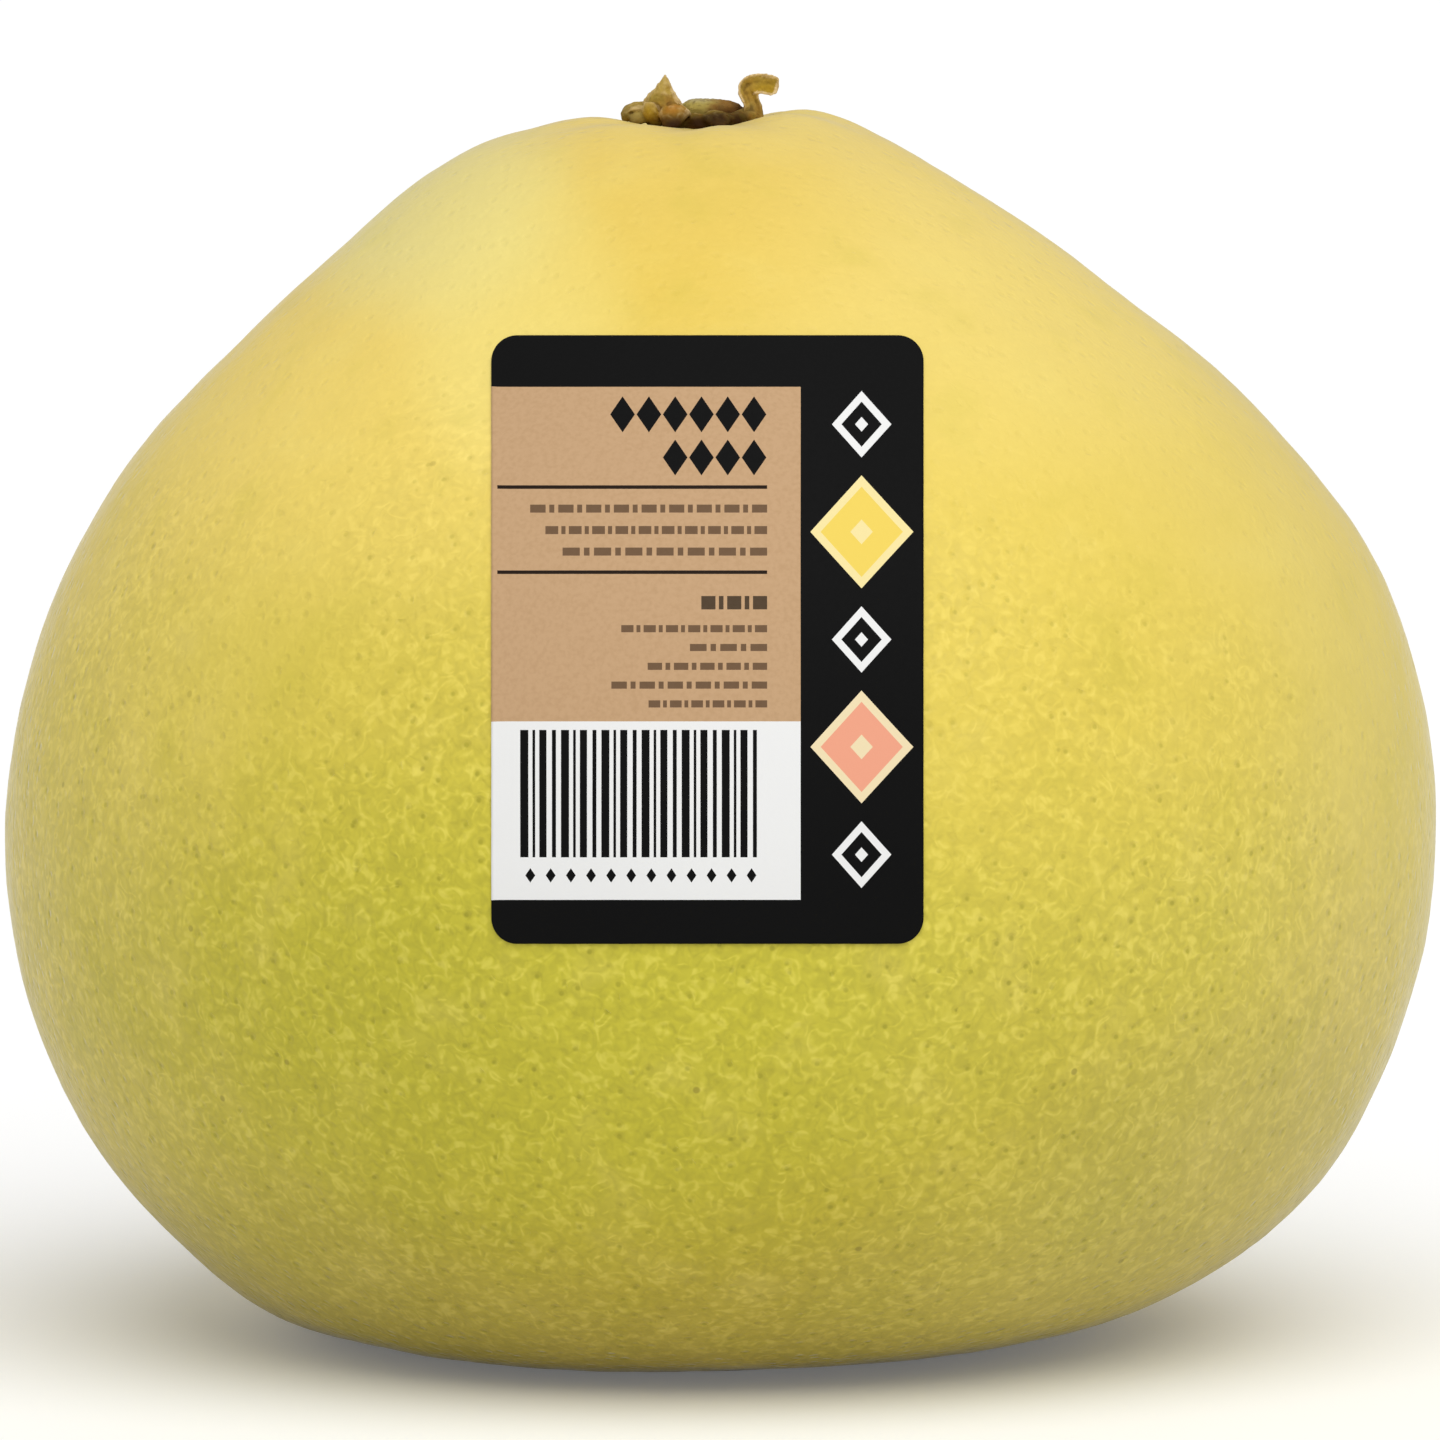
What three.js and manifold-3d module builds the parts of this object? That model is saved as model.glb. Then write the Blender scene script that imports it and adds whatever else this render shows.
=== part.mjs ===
// A whole pomelo, picked, standing on its own flattened base: the fruit, the dried calyx at its stem end, the
// cut stub of the stem inside the calyx, and a stuck-on paper label.
// Millimetres and degrees. +Z is up, +X is to the right and the label faces -Y. The origin is on the surface
// that the fruit stands on, under its middle.

import * as THREE from 'three';
import { mergeVertices } from 'three/addons/utils/BufferGeometryUtils.js';
import Module from 'manifold-3d';

// ---------------------------------------------------------------- driving dimensions

// The fruit's side outline, as radii about its heart, one every 10 degrees: from the stem end down the right
// side, under the base and back up the left side. They control a closed cubic B-spline.
const OUTLINE_RADII = [
  78.0, 78.2, 74.6, 73.3, 72.7, 74.4, 76.5, 79.5, 80.5, 81.5, 82.0, 81.5,
  81.5, 78.0, 74.0, 67.5, 65.0, 63.0, 62.5, 63.0, 65.5, 68.0, 75.0, 76.0,
  78.0, 78.5, 78.5, 78.0, 76.5, 75.5, 74.5, 72.8, 72.3, 73.7, 77.5, 76.7,
];
const HEART_HEIGHT = 60; // height of the point that the radii start from
const STEM_X = -2; // the stem end is a little left of the middle
const DEPTH_RATIO = 0.97; // front-to-back size over left-to-right size
const RIDGE_SHARE = 0.006; // three faint upright ridges, as a share of the radius
const RIDGE_TURN = 0.9; // radians
const BASIN_X = -2.5; // middle of the dip that the calyx sits in
const BASIN_DEPTH = 3;
const BASIN_HALF_WIDTH = 9;
const BASIN_HALF_LENGTH = 14;
const FOOT_BLEND = 0.8; // height over which the side rounds into the flat foot
const SKIN_SEGMENTS = 56;
const SKIN_RINGS = 40;
const RING_CROWDING = 0.25; // above 0, the rings stand closer together near the stem end and the base

const CLEARANCE = 0.3; // between neighbouring pieces

// Stem stub and calyx. Profiles are [distance from the stub's axis, height above the skin].
const STUB_X = -1; // the stub and the calyx stand a little right of the fruit's stem end
const STUB_PROFILE = [[0, 0], [3.2, 0], [3.6, 0.8], [3.5, 1.8], [2.9, 2.5], [1.6, 2.8], [0, 2.85]];
const CUP_PROFILE = [[3.95, 0], [5.0, 0], [5.5, 0.4], [5.3, 1.0], [4.7, 1.4], [4.0, 1.3]];
const COLLAR_SEGMENTS = 32;
const LOBE_SIDES = 10;
const LOBE_STEPS = 12;

// The calyx lobes, each by compass direction in degrees from +X towards +Y. A path is a list of [distance from
// the stub's axis, height above the skin]. Widths and thicknesses are evenly spaced along it. A lobe faces the
// way that it grows, unless facing says otherwise.
const LOBES = [
  { // tall strap at the right that curls over outwards
    direction: 345,
    path: [[4.7, 0.8], [4.75, 1.6], [4.6, 2.4], [4.5, 3.3], [4.95, 4.1], [5.8, 4.1], [6.6, 3.6], [7.4, 3.0]],
    width: [2.8, 2.4, 2.2, 2.0],
    thickness: [1.4, 1.4, 1.5, 1.6, 1.6],
  },
  { // low lobe at the back
    direction: 75,
    path: [[4.4, 1.0], [5.8, 1.3], [7.0, 1.4], [8.2, 1.1]],
    width: [4.4, 3.6, 1.2],
    thickness: [1.1, 0.9, 0.6],
  },
  { // short lobe at the left that rolls over and down
    direction: 183,
    path: [[4.6, 0.9], [5.6, 1.8], [6.9, 2.1], [8.4, 1.8], [9.3, 1.2], [9.6, 0.7]],
    width: [4.0, 3.6, 3.2, 2.8],
    thickness: [1.2, 0.8, 0.7, 0.6],
  },
  { // upright pointed lobe at the front left
    direction: 214,
    facing: 250,
    path: [[4.9, 0.9], [5.9, 1.6], [6.3, 3.0], [6.2, 5.8]],
    width: [4.2, 5.0, 3.6, 1.9, 0.3],
    thickness: [1.2, 1.1, 0.9, 0.7, 0.4],
  },
  { // short lobe at the front, pressed down on the skin
    direction: 285,
    path: [[4.6, 1.0], [5.7, 1.1], [6.8, 0.9]],
    width: [4.0, 3.0, 1.2],
    thickness: [1.1, 0.9, 0.6],
  },
];

// Label. From the sight point, in front of the fruit and a little above its middle, it is a true rounded
// rectangle. Its sizes, and its centre's place right of and above the aim point, are on the plane through the
// aim point that faces the sight point.
const AIM_HEIGHT = 68.8; // on the upright line through the origin
const SIGHT_DISTANCE = 1000;
const SIGHT_RISE = 5; // degrees
const LABEL_WIDTH = 48.1;
const LABEL_HEIGHT = 67.7;
const LABEL_CORNER_RADIUS = 2.9;
const LABEL_CENTRE = { right: -1.4, up: 8.9 };
const LABEL_THICKNESS = 0.3;
const LABEL_COLUMNS = 14;
const LABEL_ROWS = 18;
const LABEL_EDGE_CROWDING = 0.6; // above 0, the rows and columns stand closer together near the edges

// ---------------------------------------------------------------- the skin as a surface

// The outline's radius at an angle of any size, in radians, counted from the stem end down the right side.
function outlineRadius(angle) {
  const count = OUTLINE_RADII.length;
  const place = (angle / (2 * Math.PI)) * count;
  const step = Math.floor(place);
  const f = place - step;
  const weights = [(1 - f) ** 3, 3 * f ** 3 - 6 * f ** 2 + 4, -3 * f ** 3 + 3 * f ** 2 + 3 * f + 1, f ** 3];
  return weights.reduce((sum, weight, k) => {
    const radius = OUTLINE_RADII[(step + k - 1 + 2 * count) % count];
    return sum + (weight * radius) / 6;
  }, 0);
}

// Distance from the heart to the skin. tilt is the angle from straight up, turn the angle round from +X.
function skinRadius(tilt, turn) {
  const right = outlineRadius(tilt);
  const left = outlineRadius(-tilt);
  const middle = (right + left) / 2;
  const ridge = middle * RIDGE_SHARE * Math.sin(tilt) ** 3 * Math.cos(3 * turn + RIDGE_TURN);
  return middle + ((right - left) / 2) * Math.cos(turn) + ridge;
}

function basinDip(x, y, z) {
  if (z < HEART_HEIGHT) return 0;
  const away = Math.hypot((x - BASIN_X) / BASIN_HALF_WIDTH, y / BASIN_HALF_LENGTH);
  return BASIN_DEPTH * Math.exp(-(away ** 3));
}

// What would hang below the floor is flat on it, and rounds into the side over the blend height.
function flattenFoot(z) {
  if (z < -FOOT_BLEND) return 0;
  if (z > FOOT_BLEND) return z;
  return (z + FOOT_BLEND) ** 2 / (4 * FOOT_BLEND);
}

function skinPoint(tilt, turn) {
  const radius = skinRadius(tilt, turn);
  const spread = radius * Math.sin(tilt);
  const x = STEM_X + spread * Math.cos(turn);
  const y = DEPTH_RATIO * spread * Math.sin(turn);
  const z = HEART_HEIGHT + radius * Math.cos(tilt);
  return new THREE.Vector3(x, y, flattenFoot(z - basinDip(x, y, z)));
}

// Height of a point above the skin, measured away from the heart. It holds everywhere above the foot.
function heightOffSkin(point) {
  const across = point.x - STEM_X;
  const along = point.y / DEPTH_RATIO;
  const up = point.z + basinDip(point.x, point.y, point.z) - HEART_HEIGHT;
  const spread = Math.hypot(across, along);
  return Math.hypot(spread, up) - skinRadius(Math.atan2(spread, up), Math.atan2(along, across));
}

// Where a line from outside meets the skin. It has to be long enough to end inside the fruit.
function landOnSkin(start, line) {
  let outside = 0;
  let inside = 1;
  const point = new THREE.Vector3();
  for (let i = 0; i < 40; i++) {
    const half = (outside + inside) / 2;
    point.copy(start).addScaledVector(line, half);
    if (heightOffSkin(point) > 0) outside = half;
    else inside = half;
  }
  return point;
}

function skinNormal(point) {
  const step = 0.05;
  const slope = ['x', 'y', 'z'].map((axis) => {
    const ahead = point.clone();
    const behind = point.clone();
    ahead[axis] += step;
    behind[axis] -= step;
    return heightOffSkin(ahead) - heightOffSkin(behind);
  });
  return new THREE.Vector3(...slope).normalize();
}

function skinHeightAt(x, y) {
  const above = new THREE.Vector3(x, y, 3 * HEART_HEIGHT);
  return landOnSkin(above, new THREE.Vector3(0, 0, -2 * HEART_HEIGHT)).z;
}

// ---------------------------------------------------------------- helpers

// Moves each vertex to where place(position, uv) says, and returns the bare closed shape.
function reshape(geometry, place) {
  const { position, uv } = geometry.attributes;
  const point = new THREE.Vector3();
  const where = new THREE.Vector2();
  for (let i = 0; i < position.count; i++) {
    const moved = place(point.fromBufferAttribute(position, i), where.fromBufferAttribute(uv, i));
    position.setXYZ(i, moved.x, moved.y, moved.z);
  }
  geometry.deleteAttribute('normal');
  geometry.deleteAttribute('uv');
  return mergeVertices(geometry, 1e-4);
}

// The value at a share of the way along evenly spaced values.
function valueAlong(values, share) {
  const place = share * (values.length - 1);
  const step = Math.min(Math.floor(place), values.length - 2);
  return values[step] + (values[step + 1] - values[step]) * (place - step);
}

async function joinShapes(geometries) {
  const wasm = await Module();
  wasm.setup();
  const solids = geometries.map((geometry) => new wasm.Manifold(new wasm.Mesh({
    numProp: 3,
    vertProperties: Float32Array.from(geometry.attributes.position.array),
    triVerts: Uint32Array.from(geometry.index.array),
  })));
  const joined = solids.reduce((whole, solid) => whole.add(solid)).getMesh();
  const result = new THREE.BufferGeometry();
  result.setAttribute('position', new THREE.BufferAttribute(joined.vertProperties, joined.numProp));
  result.setIndex(new THREE.BufferAttribute(joined.triVerts, 1));
  return result;
}

function makePiece(name, geometry, color, roughness) {
  const material = new THREE.MeshStandardMaterial({ color, roughness, metalness: 0 });
  geometry.computeVertexNormals();
  const piece = new THREE.Mesh(geometry, material);
  piece.name = name;
  return piece;
}

// ---------------------------------------------------------------- fruit

function fruitGeometry() {
  return reshape(new THREE.SphereGeometry(1, SKIN_SEGMENTS, SKIN_RINGS), (position, uv) => {
    const down = 1 - uv.y;
    const tilt = Math.PI * down - RING_CROWDING * Math.sin(2 * Math.PI * down);
    return skinPoint(tilt, Math.PI * (2 * uv.x + 1));
  });
}

// ---------------------------------------------------------------- stem stub and calyx

// A turned shape about the stub's axis, with every point raised by the skin below it.
function collarGeometry(profile) {
  const points = profile.map(([radius, height]) => new THREE.Vector2(radius, height));
  return reshape(new THREE.LatheGeometry(points, COLLAR_SEGMENTS), (position) => {
    const x = STUB_X + position.x;
    const y = -position.z;
    return new THREE.Vector3(x, y, skinHeightAt(x, y) + CLEARANCE + position.y);
  });
}

// One lobe: a flat bar with rounded sides along its path.
function lobeGeometry({ direction, facing = direction, path, width, thickness }) {
  const turn = THREE.MathUtils.degToRad(direction);
  const curve = new THREE.CatmullRomCurve3(path.map(([distance, height]) => {
    const x = STUB_X + distance * Math.cos(turn);
    const y = distance * Math.sin(turn);
    return new THREE.Vector3(x, y, skinHeightAt(x, y) + height);
  }));
  const faceTurn = THREE.MathUtils.degToRad(facing);
  const sideways = new THREE.Vector3(-Math.sin(faceTurn), Math.cos(faceTurn), 0);
  return reshape(new THREE.CylinderGeometry(1, 1, 1, LOBE_SIDES, LOBE_STEPS), ({ x, y, z }) => {
    const share = y + 0.5;
    const outward = sideways.clone().cross(curve.getTangentAt(share)).normalize();
    return curve.getPointAt(share)
      .addScaledVector(sideways, (x * valueAlong(width, share)) / 2)
      .addScaledVector(outward, (z * valueAlong(thickness, share)) / 2);
  });
}

async function calyxGeometry() {
  return joinShapes([collarGeometry([...CUP_PROFILE, CUP_PROFILE[0]]), ...LOBES.map(lobeGeometry)]);
}

// ---------------------------------------------------------------- label

// Spreads -1..1 so that steps are shorter near the ends.
function crowdEnds(value) {
  return value + (LABEL_EDGE_CROWDING / Math.PI) * Math.sin(Math.PI * value);
}

// Moves a point of the label's square outline in, so that the corner is a quarter circle.
function roundCorner(x, y) {
  const pastX = Math.abs(x) - (LABEL_WIDTH / 2 - LABEL_CORNER_RADIUS);
  const pastY = Math.abs(y) - (LABEL_HEIGHT / 2 - LABEL_CORNER_RADIUS);
  if (pastX <= 0 || pastY <= 0) return [x, y];
  const pull = 1 - Math.max(pastX, pastY) / Math.hypot(pastX, pastY);
  return [x - Math.sign(x) * pastX * pull, y - Math.sign(y) * pastY * pull];
}

function labelGeometry() {
  const rise = THREE.MathUtils.degToRad(SIGHT_RISE);
  const towardSight = new THREE.Vector3(0, -Math.cos(rise), Math.sin(rise));
  const sightUp = new THREE.Vector3(0, Math.sin(rise), Math.cos(rise));
  const aim = new THREE.Vector3(0, 0, AIM_HEIGHT);
  const sightPoint = aim.clone().addScaledVector(towardSight, SIGHT_DISTANCE);
  const sheet = new THREE.BoxGeometry(2, 2, 1, LABEL_COLUMNS, LABEL_ROWS, 1);
  return reshape(sheet, (position) => {
    const [right, up] = roundCorner(
      (crowdEnds(position.x) * LABEL_WIDTH) / 2,
      (crowdEnds(position.y) * LABEL_HEIGHT) / 2,
    );
    const target = new THREE.Vector3(LABEL_CENTRE.right + right, 0, AIM_HEIGHT)
      .addScaledVector(sightUp, LABEL_CENTRE.up + up);
    const landed = landOnSkin(sightPoint, target.sub(sightPoint));
    const offSkin = CLEARANCE + (position.z + 0.5) * LABEL_THICKNESS;
    return landed.addScaledVector(skinNormal(landed), offSkin);
  });
}

// ---------------------------------------------------------------- the pomelo

const pomelo = new THREE.Group();
pomelo.add(
  makePiece('pomelo_fruit', fruitGeometry(), '#d8c961', 0.5),
  makePiece('stem_stub', collarGeometry(STUB_PROFILE), '#8f7c3c', 0.8),
  makePiece('calyx', await calyxGeometry(), '#a08a3a', 0.75),
  makePiece('label', labelGeometry(), '#1b1b1c', 0.6),
);

export default pomelo;
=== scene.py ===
import math
from functools import partialmethod

import bpy
import numpy as np
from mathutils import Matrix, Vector, noise
from mathutils.bvhtree import BVHTree
from mathutils.kdtree import KDTree


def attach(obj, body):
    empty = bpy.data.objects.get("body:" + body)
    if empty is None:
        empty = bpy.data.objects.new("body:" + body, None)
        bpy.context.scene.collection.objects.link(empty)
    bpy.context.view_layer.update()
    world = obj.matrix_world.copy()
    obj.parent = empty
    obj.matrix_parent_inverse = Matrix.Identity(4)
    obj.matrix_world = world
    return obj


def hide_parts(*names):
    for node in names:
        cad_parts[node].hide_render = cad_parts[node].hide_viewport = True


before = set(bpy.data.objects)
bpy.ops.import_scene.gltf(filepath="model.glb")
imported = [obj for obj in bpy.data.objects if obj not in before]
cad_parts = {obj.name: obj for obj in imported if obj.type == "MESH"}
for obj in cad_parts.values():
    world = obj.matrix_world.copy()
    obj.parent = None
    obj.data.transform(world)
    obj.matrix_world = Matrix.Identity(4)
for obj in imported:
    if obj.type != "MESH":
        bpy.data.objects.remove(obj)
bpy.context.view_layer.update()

MM = 0.001

# ---- camera and picture

PICTURE_SIDE = 1440  # pixels, the photograph's width and height
PICTURE_SCALE = 0.11165 * MM  # metres a pixel on the plane through the aim point
AIM = Vector((0, 0, 68.8 * MM))
SIGHT_DISTANCE = 1.0
SIGHT_RISE = math.radians(5)
SIGHT_UP = Vector((0, math.sin(SIGHT_RISE), math.cos(SIGHT_RISE)))
TOWARDS_CAMERA = Vector((0, -math.cos(SIGHT_RISE), math.sin(SIGHT_RISE)))
SIGHT_POINT = AIM + TOWARDS_CAMERA * SIGHT_DISTANCE
SENSOR = 36.0
CLIP_NEAR = 0.05
CLIP_FAR = 200

# ---- the skin, as in the CAD model, in mm

OUTLINE_RADII = np.array([
    78.0, 78.2, 74.6, 73.3, 72.7, 74.4, 76.5, 79.5, 80.5, 81.5, 82.0, 81.5,
    81.5, 78.0, 74.0, 67.5, 65.0, 63.0, 62.5, 63.0, 65.5, 68.0, 75.0, 76.0,
    78.0, 78.5, 78.5, 78.0, 76.5, 75.5, 74.5, 72.8, 72.3, 73.7, 77.5, 76.7,
])
HEART_HEIGHT = 60  # the outline's radii start here
STEM_X = -2
DEPTH_RATIO = 0.97
RIDGES = 3
RIDGE_SHARE = 0.006
RIDGE_TURN = 0.9
BASIN_X = -2.5
BASIN_DEPTH = 3
BASIN_HALF_WIDTH = 9
BASIN_HALF_LENGTH = 14
FOOT_BLEND = 0.8
BISECTIONS = 24


def outline_radius(angle):
    """The side outline's radius in mm at angles counted from the stem end down the right side."""
    count = len(OUTLINE_RADII)
    place = angle / (2 * math.pi) * count
    step = np.floor(place).astype(int)
    f = place - step
    weights = ((1 - f) ** 3, 3 * f ** 3 - 6 * f ** 2 + 4, -3 * f ** 3 + 3 * f ** 2 + 3 * f + 1, f ** 3)
    return sum(w * OUTLINE_RADII[(step + k - 1) % count] for k, w in enumerate(weights)) / 6


def skin_radius(tilt, turn):
    """The skin's radius in mm at a tilt from the stem end and a turn about the upright axis."""
    right, left = outline_radius(tilt), outline_radius(-tilt)
    middle = (right + left) / 2
    ridge = middle * RIDGE_SHARE * np.sin(tilt) ** 3 * np.cos(RIDGES * turn + RIDGE_TURN)
    return middle + (right - left) / 2 * np.cos(turn) + ridge


def basin_dip(x, y, z):
    """How far in mm the skin dips round the stem."""
    away = np.hypot((x - BASIN_X) / BASIN_HALF_WIDTH, y / BASIN_HALF_LENGTH)
    return np.where(z < HEART_HEIGHT, 0, BASIN_DEPTH * np.exp(-away ** 3))


def flatten_foot(z):
    """Heights with what is below the floor raised to it, and a smooth bend into that."""
    blend = (z + FOOT_BLEND) ** 2 / (4 * FOOT_BLEND)
    return np.where(z < -FOOT_BLEND, 0, np.where(z > FOOT_BLEND, z, blend))


def skin_points(directions):
    """Points of the smooth skin in mm, for unit directions from the heart."""
    tilt = np.arccos(np.clip(directions[:, 2], -1, 1))
    turn = np.arctan2(directions[:, 1], directions[:, 0])
    radius = skin_radius(tilt, turn)
    spread = radius * np.sin(tilt)
    x = STEM_X + spread * np.cos(turn)
    y = DEPTH_RATIO * spread * np.sin(turn)
    z = HEART_HEIGHT + radius * np.cos(tilt)
    return np.stack([x, y, flatten_foot(z - basin_dip(x, y, z))], axis=1)


def height_off_skin(x, y, z):
    """Height in mm of points above the smooth skin, measured away from the heart."""
    across, along = x - STEM_X, y / DEPTH_RATIO
    up = z + basin_dip(x, y, z) - HEART_HEIGHT
    spread = np.hypot(across, along)
    return np.hypot(spread, up) - skin_radius(np.arctan2(spread, up), np.arctan2(along, across))


def skin_height(x, y):
    """Height in mm of the smooth skin's upper side at x and y."""
    low, high = np.full(np.shape(x), HEART_HEIGHT + 1.0), np.full(np.shape(x), 3.0 * HEART_HEIGHT)
    for _ in range(BISECTIONS):
        middle = (low + high) / 2
        outside = height_off_skin(x, y, middle) > 0
        low, high = np.where(outside, low, middle), np.where(outside, middle, high)
    return (low + high) / 2


# ---- mesh helpers

def unit(vectors):
    """The vectors scaled to length 1."""
    return vectors / np.linalg.norm(vectors, axis=-1, keepdims=True)


def add_object(name, data):
    """A new object in the scene."""
    made = bpy.data.objects.new(name, data)
    bpy.context.scene.collection.objects.link(made)
    return made


def new_mesh_object(name, points, faces):
    """An object from points in mm and faces of vertex numbers."""
    mesh = bpy.data.meshes.new(name)
    mesh.from_pydata((np.asarray(points) * MM).tolist(), [], [tuple(int(v) for v in face) for face in faces])
    mesh.update()
    mesh.shade_smooth()
    return add_object(name, mesh)


def noise_at(points, size, seed=0.0):
    """Smooth noise from about -1 to 1 at points in mm, with features about size mm across."""
    return np.array([noise.noise(Vector(p)) for p in points / size + seed])


def vertex_rows(made, name):
    """A property of three numbers, one row for each vertex."""
    rows = np.empty(len(made.data.vertices) * 3, np.float32)
    made.data.vertices.foreach_get(name, rows)
    return rows.reshape(-1, 3).astype(float)


def vertex_normals(made):
    return vertex_rows(made, "normal")


def vertex_points(made):
    """Where the vertices are, in mm."""
    return vertex_rows(made, "co") / MM


def set_vertex_points(made, points):
    made.data.vertices.foreach_set("co", (points * MM).astype(np.float32).ravel())
    made.data.update()


def grid_quads(index):
    """Quads between the neighbours in a grid of vertex numbers."""
    return np.stack([index[:-1, :-1], index[:-1, 1:], index[1:, 1:], index[1:, :-1]], axis=-1).reshape(-1, 4)


def add_uv(made, name, corners):
    """A UV map from (u, v) for each face corner."""
    layer = made.data.uv_layers.new(name=name)
    layer.data.foreach_set("uv", corners.astype(np.float32).ravel())


def store(made, name, values):
    """Keeps a number for each vertex, for the material to read."""
    layer = made.data.attributes.new(name, "FLOAT", "POINT")
    layer.data.foreach_set("value", np.asarray(values, np.float32))


def dress(made, material):
    made.data.materials.clear()
    made.data.materials.append(material)
    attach(made, "root")


# ---- fruit

SKIN_CELLS = 126  # along each edge of the cube that is blown up into the fruit

SIDES = (  # each cube side's right and up; outward is their cross product
    ((1, 0, 0), (0, 0, 1)), ((0, 1, 0), (0, 0, 1)), ((-1, 0, 0), (0, 0, 1)),
    ((0, -1, 0), (0, 0, 1)), ((1, 0, 0), (0, 1, 0)), ((1, 0, 0), (0, -1, 0)),
)
ATLAS_COLUMNS = 3  # the UV map's grid of cube sides
ATLAS_ROWS = 2
ATLAS_MARGIN = 0.004

BROAD_LAYERS = ((0.30, 24, 3.1), (0.14, 11, 8.7))  # height and size in mm, and seed
PEBBLE_LAYERS = ((0.07, 4.2, 1.7), (0.04, 2.4, 5.2))
FURROWS = 9  # faint ones that run out from the stem
FURROW_DEPTH = 0.22
FURROW_RING = 12  # mm from the stem, where they are deepest
FURROW_REACH = 6.5
FURROW_WANDER = (2.2, 13, 6.3)  # angle, size and seed

SCAR_ZONE = 5  # the flower's scar dents the underside, below this height
SCAR_DEPTH = 1.1
SCAR_RADIUS = 3.0
SETTLE_HEIGHT = 20  # up to here the skin is moved so that the foot meets the floor


def cube_sphere(cells):
    """Unit directions, quads, and for each quad corner its cube side and its place right and up, 0 to 1."""
    line = np.tan(np.linspace(-math.pi / 4, math.pi / 4, cells + 1))
    right, up = np.meshgrid(line, line)
    corners = grid_quads(np.arange((cells + 1) ** 2).reshape(cells + 1, cells + 1))
    share = np.linspace(0, 1, cells + 1)
    shares = np.stack(np.meshgrid(share, share), axis=-1).reshape(-1, 2)[corners]
    directions, quads, places = [], [], []
    for side, (r, u) in enumerate(SIDES):
        r, u = np.array(r, float), np.array(u, float)
        outward = np.cross(r, u) + right[..., None] * r + up[..., None] * u
        directions.append(unit(outward).reshape(-1, 3))
        quads.append(corners + side * len(directions[0]))
        places.append(np.concatenate([np.full(shares.shape[:2] + (1,), side), shares], axis=-1))
    directions, quads, places = (np.concatenate(x) for x in (directions, quads, places))
    _, first, same = np.unique(np.round(directions, 6), axis=0, return_index=True, return_inverse=True)
    return directions[first], same.reshape(-1)[quads], places


def atlas_corners(places):
    """UV places for baking, with each cube side in its own cell of a grid."""
    side, right, up = places[..., 0], places[..., 1], places[..., 2]
    u = (side % ATLAS_COLUMNS + ATLAS_MARGIN + right * (1 - 2 * ATLAS_MARGIN)) / ATLAS_COLUMNS
    v = (side // ATLAS_COLUMNS + ATLAS_MARGIN + up * (1 - 2 * ATLAS_MARGIN)) / ATLAS_ROWS
    return np.stack([u, v], axis=-1)


def layered(points, layers):
    return sum(height * noise_at(points, size, seed) for height, size, seed in layers)


def swell(points):
    """Height in mm of the skin's unevenness over its smooth shape."""
    x, y, z = points.T
    around = np.hypot(x - STEM_X, y)
    angle, size, seed = FURROW_WANDER
    wander = angle * noise_at(points, size, seed)
    reach = np.exp(-((around - FURROW_RING) / FURROW_REACH) ** 2) * (z > HEART_HEIGHT)
    furrows = FURROW_DEPTH * reach * np.cos(FURROWS * np.arctan2(y, x - STEM_X) + wander)
    return layered(points, BROAD_LAYERS) + layered(points, PEBBLE_LAYERS) + furrows


def settled(points):
    """The points with a flat foot on the floor and the flower's scar dented into it."""
    x, y, z = points.T
    around = np.hypot(x - STEM_X, y)
    scar = np.where(z < SCAR_ZONE, SCAR_DEPTH * np.exp(-(around / SCAR_RADIUS) ** 2), 0)
    height = flatten_foot(z)
    lowered = height - height.min() * np.clip(1 - height / SETTLE_HEIGHT, 0, 1)
    return np.stack([x, y, lowered + scar], axis=1)


def make_fruit():
    directions, quads, places = cube_sphere(SKIN_CELLS)
    points = skin_points(directions)
    fruit = new_mesh_object("pomelo_skin", points, quads)
    points = points + vertex_normals(fruit) * swell(points)[:, None]
    set_vertex_points(fruit, settled(points))
    add_uv(fruit, "OFBake", atlas_corners(places))
    return fruit


# ---- stem stub and calyx

STUB_X = -1
CALYX_GRAIN = 0.13  # mm between the points that the calyx is rebuilt from
CUP_SIDES = 120
CUP_STEPS = 60
STUB_SIDES = 150
STUB_STEPS = 80
SMALLEST_RADIUS = 0.02  # no ring of a turned body shrinks to a point

# (distance from the stub's axis, height above the skin), from the axis at the bottom to the axis at the top
CUP_PROFILE = (
    (0, -0.5), (4.6, -0.5), (5.2, -0.1), (5.35, 0.5), (5.1, 1.05),
    (4.5, 1.45), (3.9, 1.6), (3.4, 1.3), (2.6, 1.0), (0, 1.0),
)
STUB_PROFILE = (
    (0, -0.3), (2.8, -0.3), (3.4, 0.1), (3.6, 0.9), (3.6, 1.7),
    (3.3, 2.35), (2.6, 2.8), (1.7, 3.02), (0.8, 3.08), (0, 3.05),
)
CUP_WAVES = ((0.05, 5, 0.6), (0.02, 13, 0))  # share of the radius, how many and turn
CUP_EDGE_WAVES = ((0.10, 3, 0),)  # the same for its height
STUB_WAVES = ((0.02, 5, 1.0), (0.010, 17, 0))
STUB_LEVEL_HEIGHT = 3  # the stub is level from here up
STUB_SLOPE = 0.045  # and rises towards the left by this share

LOBE_SIDES = 28
LOBE_STEPS = 56
RIBS = 9
RIB_DEPTH = 0.10  # share of the thickness
TIP_START = 0.92  # the tip rounds off over the last stretch of the path
TIP_LENGTH = 0.08
TIP_LEAST = 0.05
RIM_START = 0.88  # from here on the rim goes round the tip
RIM_LENGTH = 0.08
THINNEST = 0.1

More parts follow.
